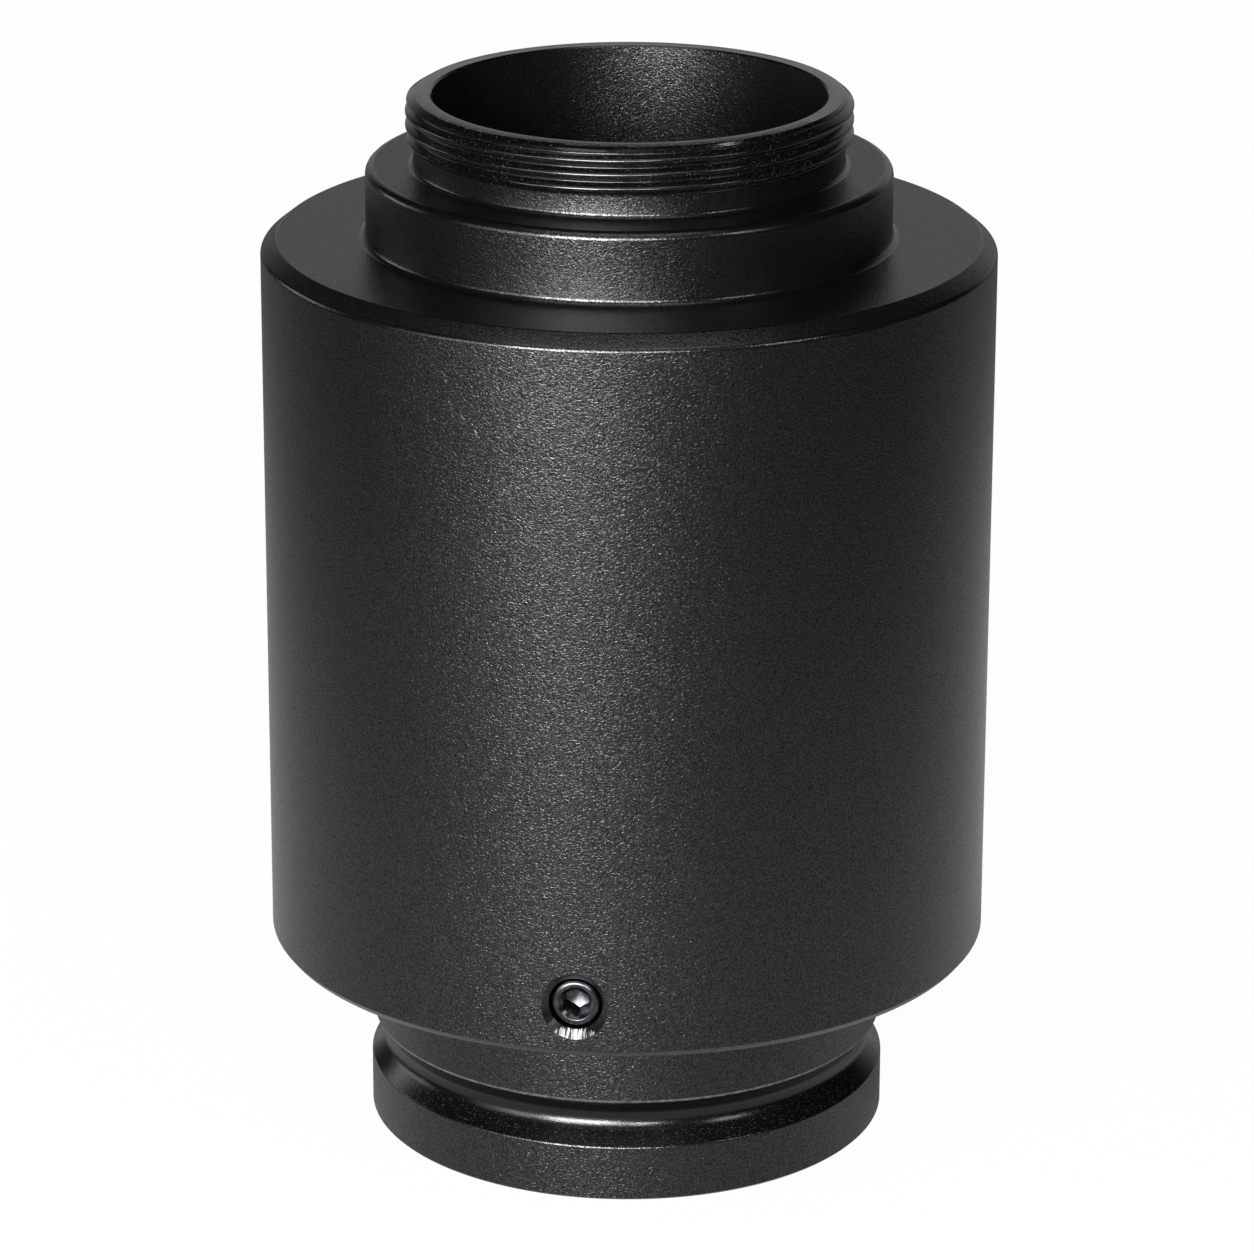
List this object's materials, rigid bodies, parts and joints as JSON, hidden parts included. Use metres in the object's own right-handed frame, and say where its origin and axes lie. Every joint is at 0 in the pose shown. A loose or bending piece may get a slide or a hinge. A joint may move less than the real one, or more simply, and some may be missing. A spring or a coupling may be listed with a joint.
{
  "type": "microscope camera adapter",
  "caption": "Microscope camera adapter: one inch threaded nose, collar and barrel with relay lens, sliding on a dovetail foot tube locked by set screws.",
  "frame": {"origin": "centre of the foot's underside, on the optical axis", "axes": "+Z along the optical axis towards the camera, -Y towards the front set screw"},
  "size_m": [0.042, 0.042, 0.0617],
  "materials": {
    "black_textured_coat": "matte",
    "black_anodised": "satin",
    "black_oxide_steel": "satin",
    "pad_brass": "satin",
    "crown_glass": "polished",
    "flint_glass": "polished",
    "seal_rubber": "matte"
  },
  "bodies": {
    "foot": {"dovetail_foot": "black_textured_coat", "foot_baffle": "black_anodised", "foot_baffle_ring": "black_anodised"},
    "seal": {"tube_seal_ring": "seal_rubber"},
    "barrel": {"main_barrel": "black_textured_coat", "lens_cell": "black_anodised", "cell_lock_ring": "black_anodised", "rear_flint_lens": "flint_glass", "rear_crown_lens": "crown_glass", "rear_spacer": "black_anodised", "aperture_stop": "black_anodised", "front_spacer": "black_anodised", "front_crown_lens": "crown_glass", "front_flint_lens": "flint_glass", "lens_retaining_ring": "black_anodised"},
    "pad_front": {"locking_pad_front": "pad_brass"},
    "pad_right": {"locking_pad_right": "pad_brass"},
    "pad_left": {"locking_pad_left": "pad_brass"},
    "screw_front": {"set_screw_front": "black_oxide_steel"},
    "screw_right": {"set_screw_right": "black_oxide_steel"},
    "screw_left": {"set_screw_left": "black_oxide_steel"}
  },
  "joints": [
    {"name": "parfocal_slide", "type": "slide", "parent": "foot", "child": "seal", "axis": [0, 0, 1], "range_m": [-0.004, 0.006]},
    {"name": "camera_turn", "type": "hinge", "parent": "seal", "child": "barrel", "pos_m": [0, 0, 0.02], "axis": [0, 0, 1], "continuous": true},
    {"name": "screw_travel_front", "type": "slide", "parent": "barrel", "child": "pad_front", "axis": [0, -1, 0], "range_m": [0, 0.0015]},
    {"name": "screw_turn_front", "type": "hinge", "parent": "pad_front", "child": "screw_front", "pos_m": [0, -0.0186, 0.0145], "axis": [0, -1, 0], "range_deg": [0, 1080]},
    {"name": "screw_travel_right", "type": "slide", "parent": "barrel", "child": "pad_right", "axis": [0.866, 0.5, 0], "range_m": [0, 0.0015]},
    {"name": "screw_turn_right", "type": "hinge", "parent": "pad_right", "child": "screw_right", "pos_m": [0.01611, 0.0093, 0.0145], "axis": [0.866, 0.5, 0], "range_deg": [0, 1080]},
    {"name": "screw_travel_left", "type": "slide", "parent": "barrel", "child": "pad_left", "axis": [-0.866, 0.5, 0], "range_m": [0, 0.0015]},
    {"name": "screw_turn_left", "type": "hinge", "parent": "pad_left", "child": "screw_left", "pos_m": [-0.01611, 0.0093, 0.0145], "axis": [-0.866, 0.5, 0], "range_deg": [0, 1080]}
  ],
  "couplings": [
    {"joint": "screw_turn_front", "follows": "screw_travel_front", "rad_per_m": 12566},
    {"joint": "screw_turn_right", "follows": "screw_travel_right", "rad_per_m": 12566},
    {"joint": "screw_turn_left", "follows": "screw_travel_left", "rad_per_m": 12566}
  ]
}
